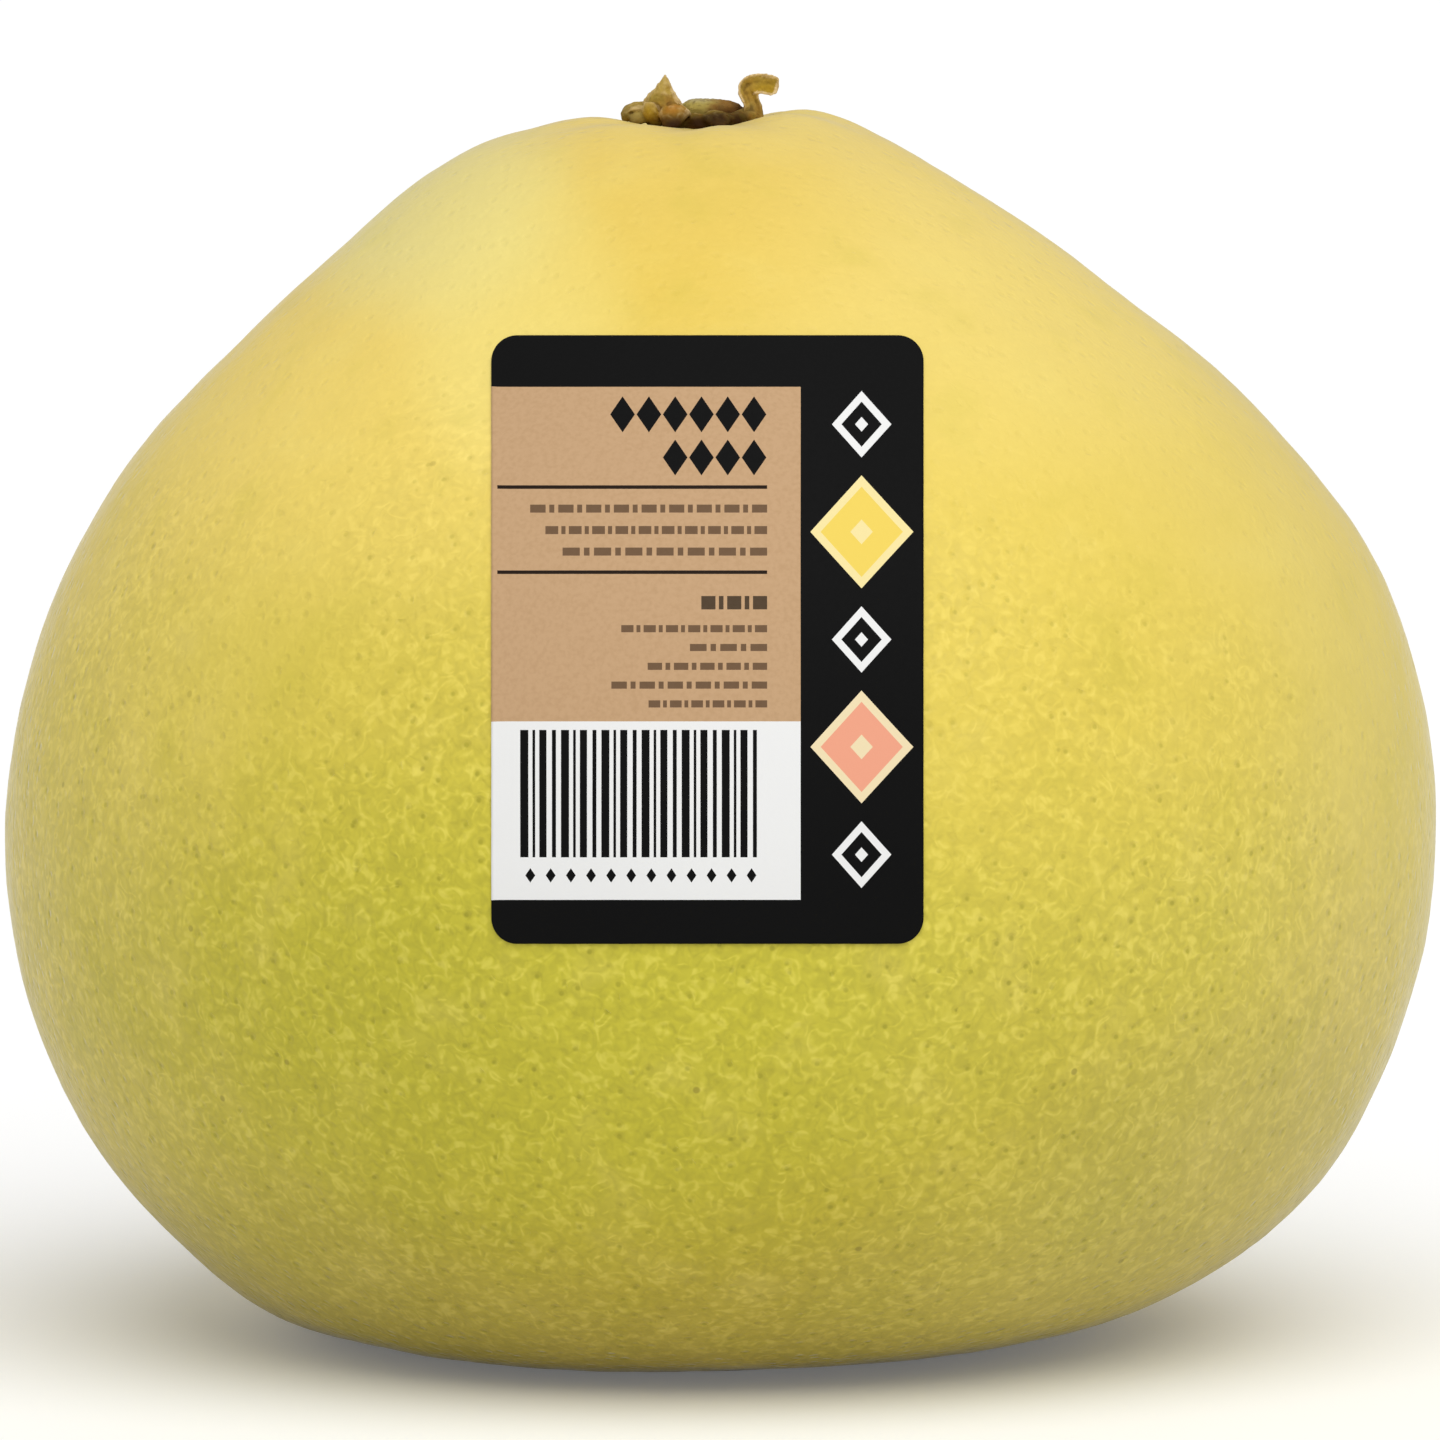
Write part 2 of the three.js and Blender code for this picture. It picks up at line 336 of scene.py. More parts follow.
# Each lobe's path is in mm. faces are directions that its face looks in. They, the widths and the thicknesses
# are evenly spaced from base to tip. cup bends the side edges towards the face.
LOBES = (
    dict(  # tall strap at the right
        path=((2.4, -1.3, 135.1), (3.5, -1.6, 135.8), (3.5, -1.6, 137.0), (3.2, -1.6, 138.0),
              (2.95, -1.6, 138.8), (3.3, -1.6, 139.45), (4.4, -1.6, 139.6), (5.5, -1.5, 139.4),
              (6.45, -1.4, 139.1)),
        faces=((0, -1, 0), (0.2, -1, 0.1), (0, -1, 0.1), (0, -1, 0.3)),
        widths=(2.6, 2.3, 2.1, 2.0, 2.1, 2.2, 2.3, 2.3, 2.1),
        thicknesses=(1.6, 1.3, 1.0, 0.8, 0.7), cup=0.42),
    dict(  # rolled one at the left
        path=((-5.0, -0.8, 135.6), (-6.4, -1.0, 136.7), (-7.9, -1.0, 137.2), (-9.4, -1.0, 137.25),
              (-10.4, -1.0, 136.8), (-10.65, -1.0, 136.0), (-10.3, -1.0, 135.4)),
        faces=((-0.7, 0, 1), (-0.2, 0, 1), (0, 0, 1), (-1, 0, 0.8), (-1, 0, 0), (-1, 0, -0.6)),
        widths=(4.6, 4.2, 4.0, 3.6, 3.0), thicknesses=(1.2, 0.9, 0.7, 0.65), cup=-0.10),
    dict(  # flat one under it, close to the skin
        path=((-5.0, -1.8, 135.6), (-6.6, -2.2, 136.2), (-8.3, -2.2, 136.3), (-10.0, -1.9, 135.7)),
        faces=((-0.2, -0.3, 1), (-0.3, -0.3, 1)),
        widths=(3.6, 3.4, 3.2, 2.8), thicknesses=(1.3, 1.3, 1.5, 1.6), cup=-0.05),
    dict(  # its front edge, rolled into a knob
        path=((-6.5, -3.4, 135.6), (-7.4, -3.9, 136.4), (-7.75, -4.0, 137.0), (-7.7, -3.8, 137.6)),
        faces=((0, -1, 0.3), (0, -1, 0.5)),
        widths=(2.0, 1.9, 1.8, 1.3), thicknesses=(1.7, 1.6, 1.5, 1.1), cup=0.0),
    dict(  # upright point
        path=((-6.4, -3.0, 135.2), (-6.5, -3.3, 136.4), (-6.45, -3.5, 137.6), (-6.3, -3.6, 138.7),
              (-6.15, -3.5, 139.8), (-6.08, -3.4, 140.8)),
        faces=((-0.15, -1, 0.2), (-0.05, -1, 0.3)),
        widths=(5.0, 5.0, 4.4, 2.9, 1.4, 0.2), thicknesses=(1.5, 1.3, 1.0, 0.8, 0.5, 0.25), cup=-0.32),
    dict(  # folded foot below the point
        path=((-4.9, -3.0, 136.9), (-5.1, -4.4, 136.8), (-5.3, -5.6, 136.0), (-5.5, -6.8, 134.9)),
        faces=((0, -0.4, 1), (-0.1, -1, 1)),
        widths=(3.4, 3.6, 2.8, 1.3), thicknesses=(1.2, 1.0, 0.8, 0.5), cup=-0.12),
    dict(  # short one at the front
        path=((-0.6, -3.4, 136.3), (-0.3, -4.8, 136.1), (-0.1, -5.9, 135.6), (0.0, -7.0, 135.1)),
        faces=((0, -0.3, 1), (0, -0.8, 1)),
        widths=(3.6, 3.4, 2.4, 1.0), thicknesses=(1.1, 0.9, 0.7, 0.4), cup=-0.08),
    dict(  # one at the back, on the right
        path=((0.3, 3.2, 136.1), (1.3, 4.6, 136.5), (2.2, 6.0, 136.4), (2.8, 7.4, 136.2), (3.0, 8.4, 136.5)),
        faces=((-0.2, -0.4, 1), (0.2, 0.2, 1)),
        widths=(4.4, 4.2, 3.2, 1.6), thicknesses=(1.2, 0.9, 0.7, 0.5), cup=0.15),
    dict(  # and one on the left
        path=((-3.4, 2.8, 136.0), (-4.8, 4.2, 136.4), (-6.0, 5.6, 136.3), (-6.8, 6.8, 136.1)),
        faces=((0.2, -0.4, 1), (-0.2, 0.2, 1)),
        widths=(4.6, 4.4, 3.0, 1.0), thicknesses=(1.2, 0.9, 0.7, 0.4), cup=0.12),
)

SPOTS = (  # places of other colours and of painted shadow: name in the material, radius and middles in mm
    ("warm", 1.3, ((-5.2, -4.4, 136.9),)),
    ("gold", 0.9, ((5.6, -2.0, 139.0), (4.4, -2.0, 139.0), (-7.9, -4.6, 136.7))),
    ("fair", 1.1, ((-10.4, -1.6, 136.4), (-8.9, -3.2, 136.2), (-5.3, -4.0, 137.8), (3.2, -2.0, 137.6),
                   (4.2, -1.9, 136.0))),
    # painted shadow: near-black patches in the hollows at the front, next to the skin
    ("painted_shadow", 1.4, ((-0.1, -5.4, 135.5), (2.6, -4.4, 135.4), (-2.6, -5.2, 135.4), (-5.2, -6.6, 134.9))),
)
EDGE_ROUNDS = 20  # of smoothing that tell edges and creases from the rest


def spline(points, shares):
    """Points of a Catmull-Rom curve through points, at shares of the way from first to last."""
    points = np.asarray(points, float)
    if points.ndim == 1:
        points = points[:, None]
    padded = np.concatenate([2 * points[:1] - points[1:2], points, 2 * points[-1:] - points[-2:-1]])
    place = np.clip(shares, 0, 1) * (len(points) - 1)
    step = np.minimum(place.astype(int), len(points) - 2)
    f = (place - step)[:, None]
    a, b, c, d = (padded[step + k] for k in range(4))
    return (2 * b + (c - a) * f + (2 * a - 5 * b + 4 * c - d) * f ** 2 + (3 * b - a - 3 * c + d) * f ** 3) / 2


def tube_faces(rings, sides):
    """Faces of a tube of closed rings, with both ends closed by fans to two last points."""
    quads = [
        (r * sides + s, r * sides + (s + 1) % sides, (r + 1) * sides + (s + 1) % sides, (r + 1) * sides + s)
        for r in range(rings - 1) for s in range(sides)
    ]
    first, last = rings * sides, rings * sides + 1
    start = [(first, (s + 1) % sides, s) for s in range(sides)]
    end = [(last, (rings - 1) * sides + s, (rings - 1) * sides + (s + 1) % sides) for s in range(sides)]
    return quads + start + end


def lobe_frame(path, faces, shares):
    """A lobe's middle line, and the directions of its width and its thickness along it."""
    centre = spline(path, shares)
    tangent = unit(np.gradient(centre, axis=0))
    face = spline(faces, shares)
    thin = unit(face - (face * tangent).sum(-1, keepdims=True) * tangent)
    return centre, np.cross(tangent, thin), thin


def half_sizes(sizes, shares):
    """Half of a width or thickness along a lobe, less where its tip rounds off."""
    past = np.clip(shares - TIP_START, 0, None) / TIP_LENGTH
    rounding = np.sqrt(np.clip(1 - past ** 2, TIP_LEAST, 1))[:, None]
    return np.clip(spline(sizes, shares), THINNEST, None) / 2 * rounding


def rim_shares(around, shares):
    """Each point's share of the way from the middle of the face to the lobe's rim."""
    past = np.clip((shares[:, None] - RIM_START) / RIM_LENGTH, 0, 1)
    rim = np.maximum(np.abs(np.cos(around)), past)
    return np.append(rim.ravel(), (0, 1))


def lobe(path, faces, widths, thicknesses, cup):
    """A ribbed bar with a rounded tip: its points in mm, its faces and its points' rim shares."""
    shares = np.linspace(0, 1, LOBE_STEPS)
    centre, wide, thin = lobe_frame(path, faces, shares)
    around = np.linspace(0, 2 * math.pi, LOBE_SIDES, endpoint=False)
    half_width = half_sizes(widths, shares)
    across = half_width * np.cos(around)
    through = half_sizes(thicknesses, shares) * np.sin(around) * (1 + RIB_DEPTH * np.cos(RIBS * around))
    through = through + 2 * cup * half_width * np.cos(around) ** 2
    points = centre[:, None] + across[..., None] * wide[:, None] + through[..., None] * thin[:, None]
    points = np.vstack([points.reshape(-1, 3), centre[:1], centre[-1:]])
    return points, tube_faces(LOBE_STEPS, LOBE_SIDES), rim_shares(around, shares)


def turned(profile, sides, steps, place):
    """Points in mm and faces of a closed turned body. place(radius, height, turn) says where a point lies."""
    radius, height = spline(profile, np.linspace(0, 1, steps)).T
    radius = np.maximum(radius, SMALLEST_RADIUS)
    turn = np.linspace(0, 2 * math.pi, sides, endpoint=False)
    rings = [place(np.full(sides, r), np.full(sides, h), turn) for r, h in zip(radius, height)]
    ends = [place(np.zeros(1), height[[k]], turn[:1]) for k in (0, -1)]
    return np.vstack(rings + ends), tube_faces(steps, sides)


def wavy(turn, waves):
    """1 with waves round it, each with a height, a count and a turn."""
    return sum((height * np.cos(count * turn + start) for height, count, start in waves), start=1)


def round_stub(radius, turn):
    """x and y in mm of places round the stub's axis."""
    return STUB_X + radius * np.cos(turn), radius * np.sin(turn)


def cup_place(radius, height, turn):
    """The cup follows the skin, and its edge waves."""
    x, y = round_stub(radius * wavy(turn, CUP_WAVES), turn)
    return np.stack([x, y, skin_height(x, y) + height * wavy(turn, CUP_EDGE_WAVES)], axis=-1)


def stub_place(radius, height, turn):
    """The stub follows the skin at its foot, and is level and a little higher on the left at its top."""
    radius = radius * wavy(turn, STUB_WAVES)
    x, y = round_stub(radius, turn)
    levelled = np.clip(height / STUB_LEVEL_HEIGHT, 0, 1)
    middle = skin_height(np.full(1, STUB_X), np.zeros(1))
    floor = skin_height(x, y) * (1 - levelled) + middle * levelled
    return np.stack([x, y, floor + height - STUB_SLOPE * levelled * radius * np.cos(turn)], axis=-1)


def carried(made, points, values):
    """For each vertex, the value of the nearest of the points."""
    nearest = KDTree(len(points))
    for number, point in enumerate(points):
        nearest.insert(point, number)
    nearest.balance()
    return [values[nearest.find(point)[1]] for point in vertex_points(made)]


def joined(parts):
    """The points and faces of all the parts in one list each."""
    faces, start = [], 0
    for points, part_faces, _ in parts:
        faces += [tuple(v + start for v in face) for face in part_faces]
        start += len(points)
    return np.vstack([part[0] for part in parts]), faces


def fuse(name, parts, grain):
    """One closed mesh object from overlapping closed parts, rebuilt on a grid of grain mm."""
    points, faces = joined(parts)
    rough = new_mesh_object(name + "_rough", points, faces)
    remesh = rough.modifiers.new("remesh", "REMESH")
    remesh.mode, remesh.voxel_size = "VOXEL", grain * MM
    smooth = rough.modifiers.new("smooth", "SMOOTH")
    smooth.factor, smooth.iterations = 0.5, 2
    bpy.context.view_layer.update()
    fused = bpy.data.meshes.new_from_object(rough.evaluated_get(bpy.context.evaluated_depsgraph_get()))
    bpy.data.objects.remove(rough)
    fused.shade_smooth()
    made = add_object(name, fused)
    store(made, "rim", carried(made, points, np.concatenate([part[2] for part in parts])))
    return made


def wrinkle(made, depth, size, seed):
    """Moves the vertices along their normals by folded noise and finer grain, as drying does."""
    points = vertex_points(made)
    folds = 0.5 - 2 * np.abs(noise_at(points, size, seed))
    grain = noise_at(points, size * 0.4, seed + 9)
    set_vertex_points(made, points + vertex_normals(made) * (depth * (folds + 0.5 * grain))[:, None])


def edge_heights(made):
    """How far in mm each vertex stands out over its smoothed surroundings, below 0 in creases."""
    edges = np.empty(len(made.data.edges) * 2, int)
    made.data.edges.foreach_get("vertices", edges)
    a, b = edges.reshape(-1, 2).T
    points = vertex_points(made)
    number = len(points)
    neighbours = np.bincount(np.concatenate([a, b]), minlength=number)[:, None]
    smooth = points
    for _ in range(EDGE_ROUNDS):
        sums = [np.bincount(a, column[b], number) + np.bincount(b, column[a], number) for column in smooth.T]
        smooth = np.stack(sums, axis=-1) / neighbours
    return ((points - smooth) * vertex_normals(made)).sum(-1)


def near(points, middle, radius):
    """1 at the middle, falling to 0 a few radii away."""
    return np.exp(-(((points - np.array(middle)) / radius) ** 2).sum(-1))


def mark(made):
    """Stores what the colours, painted highlights and painted shade go by: height above the skin, edges and
    the places of other colours and of painted shadow.
    """
    points = vertex_points(made)
    store(made, "rise", points[:, 2] - skin_height(points[:, 0], points[:, 1]))
    store(made, "edge", edge_heights(made))
    for name, radius, middles in SPOTS:
        store(made, name, sum(near(points, middle, radius) for middle in middles))


def make_calyx():
    points, faces = turned(CUP_PROFILE, CUP_SIDES, CUP_STEPS, cup_place)
    cup = points, faces, np.zeros(len(points))
    calyx = fuse("calyx_dried", [cup] + [lobe(**shape) for shape in LOBES], CALYX_GRAIN)
    wrinkle(calyx, depth=0.10, size=1.1, seed=4.2)
    mark(calyx)
    return calyx


def make_stub():
    stub = new_mesh_object("stem_end", *turned(STUB_PROFILE, STUB_SIDES, STUB_STEPS, stub_place))
    wrinkle(stub, depth=0.11, size=0.9, seed=7.7)
    mark(stub)
    return stub


# ---- label

LABEL_WIDTH = 48.1  # these are as seen, on the plane through the aim point
LABEL_HEIGHT = 67.7
LABEL_CORNER_RADIUS = 2.9
LABEL_CENTRE = (-1.4, 8.9)
LABEL_THICKNESS = 0.12
LABEL_GAP = 0.02  # between its back and the highest bump under it
LABEL_COLUMNS = 84
LABEL_ROWS = 118
LABEL_EDGE_CROWDING = 0.5
LABEL_SMOOTHING = 20  # rounds, for how the paper bridges the skin's small hollows
NORMAL_SMOOTHING = 12


def crowded_line(count, length):
    """count + 1 places along a length, closer together at its ends, from its middle."""
    even = np.linspace(-1, 1, count + 1)
    return (even + LABEL_EDGE_CROWDING / math.pi * np.sin(math.pi * even)) * length / 2


def label_places():
    """Each grid point's (right, up) from the label's centre in mm, in a rounded rectangle."""
    right, up = np.meshgrid(crowded_line(LABEL_COLUMNS, LABEL_WIDTH), crowded_line(LABEL_ROWS, LABEL_HEIGHT))
    past_right = np.abs(right) - (LABEL_WIDTH / 2 - LABEL_CORNER_RADIUS)
    past_up = np.abs(up) - (LABEL_HEIGHT / 2 - LABEL_CORNER_RADIUS)
    corner = (past_right > 0) & (past_up > 0)
    reach = np.where(corner, np.hypot(past_right, past_up), 1)
    pull = np.where(corner, 1 - np.maximum(past_right, past_up) / reach, 0)
    right = right - np.where(corner, np.sign(right) * past_right * pull, 0)
    up = up - np.where(corner, np.sign(up) * past_up * pull, 0)
    return right, up


def skin_under(made, right, up):
    """Where sight lines through the label's places meet the skin in mm, and the skin's normals there."""
    surface = BVHTree.FromObject(made, bpy.context.evaluated_depsgraph_get())
    middle_right, middle_up = LABEL_CENTRE
    skin, normals = [], []
    for r, u in zip(right.ravel(), up.ravel()):
        target = AIM + Vector(((middle_right + r) * MM, 0, 0)) + SIGHT_UP * ((middle_up + u) * MM)
        where, normal, _, _ = surface.ray_cast(SIGHT_POINT, (target - SIGHT_POINT).normalized())
        skin.append(where / MM)
        normals.append(normal)
    shape = right.shape + (3,)
    return np.array(skin).reshape(shape), np.array(normals).reshape(shape)


def blurred(grid, times):
    """A grid of points smoothed by its neighbours, with the rim left where it is."""
    grid = grid.copy()
    for _ in range(times):
        grid[1:-1, 1:-1] = (grid[:-2, 1:-1] + grid[2:, 1:-1] + grid[1:-1, :-2] + grid[1:-1, 2:]) / 4
    return grid


def laid_on(skin, normals):
    """The front and the back of the paper, smoother than the skin and just clear of it."""
    normals = unit(blurred(normals, NORMAL_SMOOTHING))
    paper = blurred(skin, LABEL_SMOOTHING)
    highest = ((skin - paper) * normals).sum(-1).max()
    back = paper + normals * (highest + LABEL_GAP)
    return back + normals * LABEL_THICKNESS, back


def sheet_faces(rows, columns):
    """Faces of a closed sheet. The points of its back come after those of its front."""
    index = np.arange(rows * columns).reshape(rows, columns)
    quads = grid_quads(index)
    rim = np.concatenate([index[0, :-1], index[:-1, -1], index[-1, :0:-1], index[:0:-1, 0]])
    following = np.roll(rim, -1)
    under = rows * columns
    sides = np.stack([rim + under, following + under, following, rim], axis=-1)
    return np.concatenate([quads, quads[:, ::-1] + under, sides])


def make_label(fruit):
    right, up = label_places()
    front, back = laid_on(*skin_under(fruit, right, up))
    points = np.concatenate([front.reshape(-1, 3), back.reshape(-1, 3)])
    label = new_mesh_object("label_paper", points, sheet_faces(*right.shape))
    place = np.stack([right.ravel(), up.ravel()], axis=-1)
    loops = np.empty(len(label.data.loops), int)
    label.data.loops.foreach_get("vertex_index", loops)
    add_uv(label, "print", np.concatenate([place, place])[loops])
    return label


# ---- shader helpers

class Wire:
    """A shader value, which comes out of a node. Arithmetic and comparisons on it add Math nodes."""

    def __init__(self, node, output=0):
        self.tree, self.socket = node.id_data, node.outputs[output]

    def math(self, operation, *others):
        return Wire(add_node(self.tree, "Math", dict(enumerate((self, *others))), operation=operation))

    def __rsub__(self, other):
        return (self * -1).math("ADD", other)

    __add__ = __radd__ = partialmethod(math, "ADD")
    __sub__ = partialmethod(math, "SUBTRACT")
    __mul__ = __rmul__ = partialmethod(math, "MULTIPLY")
    __truediv__ = partialmethod(math, "DIVIDE")
    __gt__ = partialmethod(math, "GREATER_THAN")
    __lt__ = partialmethod(math, "LESS_THAN")


def set_sockets(node, values):
    """Links the node's sockets to wires, or sets them to plain values, by their names or numbers."""
    for name, value in values.items():
        if isinstance(value, Wire):
            node.id_data.links.new(value.socket, node.inputs[name])
        else:
            node.inputs[name].default_value = value


def add_node(tree, kind, values, **settings):
    """A new node with settings, and values for its sockets."""
    node = tree.nodes.new("ShaderNode" + kind)
    for name, value in settings.items():
        setattr(node, name, value)
    set_sockets(node, values)
    return node


def shader_tree(name):
    """(material, its tree, its Principled node)."""
    material = bpy.data.materials.new(name)
    material.use_nodes = True
    tree = material.node_tree
    return material, tree, tree.nodes["Principled BSDF"]


def object_place(tree):
    return Wire(add_node(tree, "TexCoord", {}), "Object")


def axes_of(place):
    node = add_node(place.tree, "SeparateXYZ", {0: place})
    return [Wire(node, number) for number in range(3)]


def attribute(tree, name):
    return Wire(add_node(tree, "Attribute", {}, attribute_name=name), "Fac")


def moved(place, shift):
    """The place plus a push along all three axes, so that the same noise looks unrelated."""
    push = (shift * 0.37, shift * 0.21, shift * 0.53)
    return Wire(add_node(place.tree, "VectorMath", {0: place, 1: push}, operation="ADD"))


def noise_wire(place, size, detail=2.0, distortion=0.0, shift=0.0):
    """Noise from 0 to 1 with features about size mm across."""
    values = {"Scale": 1 / (size * MM), "Detail": detail, "Distortion": distortion}
    values["Vector"] = moved(place, shift) if shift else place
    return Wire(add_node(place.tree, "TexNoise", values), "Fac")


def cell_wires(place, size):
    """(distance to the nearest cell centre in cell sizes, a random value for each cell)."""
    cells = add_node(place.tree, "TexVoronoi", {"Vector": place, "Scale": 1 / (size * MM)})
    parts = add_node(place.tree, "SeparateColor", {0: Wire(cells, "Color")})
    return Wire(cells, "Distance"), Wire(parts)


def between(value, low, high, result_low=0.0, result_high=1.0, smooth=True):
    """Maps low..high to result_low..result_high, and holds the ends."""
    values = {"Value": value, "From Min": low, "From Max": high, "To Min": result_low, "To Max": result_high}
    how = "SMOOTHSTEP" if smooth else "LINEAR"
    return Wire(add_node(value.tree, "MapRange", values, interpolation_type=how), "Result")


def inside(value, low, high):
    """1 where value is between low and high."""
    return (value > low) * (value < high)


def ramp(value, stops):
    """Colour by value, from (place, (r, g, b)) stops."""
    node = add_node(value.tree, "ValToRGB", {0: value})
    node.color_ramp.interpolation = "B_SPLINE"
    elements = node.color_ramp.elements
    while len(elements) < len(stops):
        elements.new(0.5)
    for element, (place, colour) in zip(elements, stops):
        element.position = place
        element.color = (*colour, 1)
    return Wire(node)


def mixed(share, first, second):
    """first blended towards second by share. Colours are (r, g, b) or wires."""
    first, second = (colour if isinstance(colour, Wire) else (*colour, 1) for colour in (first, second))
    return Wire(add_node(share.tree, "Mix", {0: share, 6: first, 7: second}, data_type="RGBA"), 2)


def painted(colour, coats):
    """The colour with coats over it, first to last, each with its share and its own colour."""
    for share, tint in coats:
        colour = mixed(share, colour, tint)
    return colour


def tinted(colour, factor):
    """The colour times a factor."""
    return Wire(add_node(colour.tree, "VectorMath", {0: colour, "Scale": factor}, operation="SCALE"))


def bump(height):
    """A shading normal from a height in mm."""
    return Wire(add_node(height.tree, "Bump", {"Distance": MM, "Height": height}))


# ---- peel

FRUIT_HEIGHT = 136.6
HEIGHT_COLOURS = (  # share of the fruit's height, and the ground colour there
    (0.00, (0.42, 0.33, 0.034)),
    (0.15, (0.54, 0.44, 0.032)),
    (0.38, (0.66, 0.565, 0.052)),
    (0.62, (0.79, 0.625, 0.095)),
    (0.85, (0.85, 0.630, 0.130)),
    (1.00, (0.85, 0.630, 0.160)),
)
DRIFT_SIZE = 42  # of the broadest clouds of colour, in mm as all sizes here
CLOUD_SIZE = 9
# Painted reflection: the peel is painted paler and bluer towards its outline as seen from the front, standing
# in for the white surroundings' reflection there.
PAINTED_SIDE_REFLECTION = (0.76, 0.61, 0.195)
REFLECTION_FREE_X, REFLECTION_FREE_Z = (-4, 78), (64, 88)  # middle and reach of the part without the painted reflection
LIGHT_CLOUD = (0.90, 0.74, 0.20)
DARK_CLOUD = (0.48, 0.44, 0.03)

# Blushes: middle and reach in mm, strength, and the colour that they lead to.
BLUSHES = (
    ((-16, -70, 46), (36, 60, 24), 0.50, (0.59, 0.56, 0.030)),   # deep yellow-green, low at the front
    ((-48, -50, 40), (24, 50, 26), 0.35, (0.48, 0.43, 0.026)),   # darker to the left of it
    ((-38, -62, 79), (20, 40, 18), 0.30, (0.62, 0.52, 0.055)),   # and left of the label
    ((-46, -30, 8), (28, 60, 14), 0.40, (0.36, 0.31, 0.016)),    # dark at the foot on the left
    ((32, -40, 10), (22, 60, 14), 0.35, (0.61, 0.53, 0.095)),    # paler at the foot on the right
    ((36, -68, 44), (22, 40, 22), 0.30, (0.71, 0.62, 0.085)),    # paler below the label's right corner
    ((54, -48, 24), (20, 50, 14), 0.40, (0.50, 0.43, 0.080)),    # darker low on the right
    ((-6, -30, 124), (20, 40, 11), 0.55, (0.80, 0.56, 0.070)),   # orange-yellow below the stem end
    ((30, -62, 84), (30, 50, 24), 0.30, (0.86, 0.64, 0.110)),    # warm, right of the label
    ((-40, -45, 104), (22, 40, 18), 0.45, (0.93, 0.70, 0.170)),  # warm on the left flank
    ((-32, -20, 127), (14, 34, 11), 0.45, (0.82, 0.79, 0.350)),  # pale green on the left shoulder
    ((-22, -40, 116), (10, 40, 14), 0.40, (0.94, 0.81, 0.260)),  # pale above the label's left corner
    ((32, -30, 116), (24, 40, 16), 0.40, (0.91, 0.72, 0.200)),   # pale on the right shoulder
    ((26, 64, 56), (44, 60, 30), 0.50, (0.58, 0.53, 0.030)),     # yellow-green at the back
    ((-30, 60, 92), (34, 50, 26), 0.35, (0.84, 0.62, 0.085)),    # warm, higher at the back
)
BLUSH_END = 2.2  # where a blush has faded out, in squared reaches from its middle

PATTERN_TOP = 0.78  # share of the height where the fine pattern has nearly faded out
PATTERN_FULL = 0.38  # and where it is full
PATTERN_TILT = 1.2  # it ends lower on the right, by this share a metre
GLAND_SIZE = 1.45
WINDING_SIZE = 1.3
THREAD_SIZE = 2.4
THREAD_WIDTH = 0.20  # in the noise's levels, each side of the thread's middle
PIT = (0.30, 0.27, 0.012)
PALE_STROKE = (0.95, 0.82, 0.36)
SPECK_SIZE = 7.5  # from one speck to the next
SPECK = (0.22, 0.17, 0.02)

SCAR_TOP = 4  # the scar's colours are below this height in mm
SCAR_RINGS = (  # from and to this radius, share at the first, and colour
    (3.0, 13.0, 0.55, (0.40, 0.30, 0.050)),
    (2.2, 3.4, 0.90, (0.12, 0.070, 0.020)),
    (0.6, 2.2, 0.80, (0.34, 0.26, 0.120)),
)
PEEL_SURFACE = {"IOR": 1.38, "Sheen Weight": 0.45, "Sheen Roughness": 0.2}


def squared(axis, middle, reach):
    """The square of the distance in reaches from the middle."""
    return ((axis / MM - middle) / reach).math("POWER", 2.0)


def ground_colour(axes, drift, cloud, painted_reflection):
    """The peel without its fine pattern."""
    # The first coat is the painted reflection towards the outline.
    coats = [(painted_reflection * 0.55, PAINTED_SIDE_REFLECTION)]
    for middle, reach, strength, tint in BLUSHES:
        squares = [squared(*of_axis) for of_axis in zip(axes, middle, reach)]
        away = sum(squares[1:], squares[0]) + (drift * 1.2 + cloud * 0.7)
        coats.append((between(away, 0.0, BLUSH_END, 1, 0) * strength, tint))
    coats.append((between(cloud, 0.02, 0.30) * 0.16, LIGHT_CLOUD))
    coats.append((between(cloud, -0.02, -0.30) * 0.16, DARK_CLOUD))
    return painted(ramp(axes[2] / (FRUIT_HEIGHT * MM) + drift * 0.16, HEIGHT_COLOURS), coats)


def threads(place, shift):
    """Thin winding lines on the peel: 1 along a line and 0 away from it."""
    level = noise_wire(place, THREAD_SIZE, detail=0.0, distortion=1.4, shift=shift)
    return between((level - 0.5).math("ABSOLUTE"), 0.0, THREAD_WIDTH, 1, 0)


def stroke_wire(place, winding):
    """The fine pattern: above 0 on its pale strokes and below 0 between them."""
    broken = between(noise_wire(place, WINDING_SIZE, detail=0.0, shift=11.0), 0.38, 0.58)
    strokes = between(winding, 0.25, 0.75, -1, 1, smooth=False)
    return strokes + threads(place, 4.0) * broken * 2.2 - threads(place, 17.0) * 1.2 - 0.42


def scar_coats(axes, cloud, winding):
    """Ragged rings round the flower's scar, on the underside only."""
    x, y, z = axes
    away = ((x / MM - STEM_X).math("POWER", 2.0) + (y / MM).math("POWER", 2.0)).math("SQRT")
    away = away + cloud * 2.5 + (winding - 0.5) * 2.0
    beneath = z < SCAR_TOP * MM
    return [(between(away, start, end, share, 0) * beneath, tint) for start, end, share, tint in SCAR_RINGS]


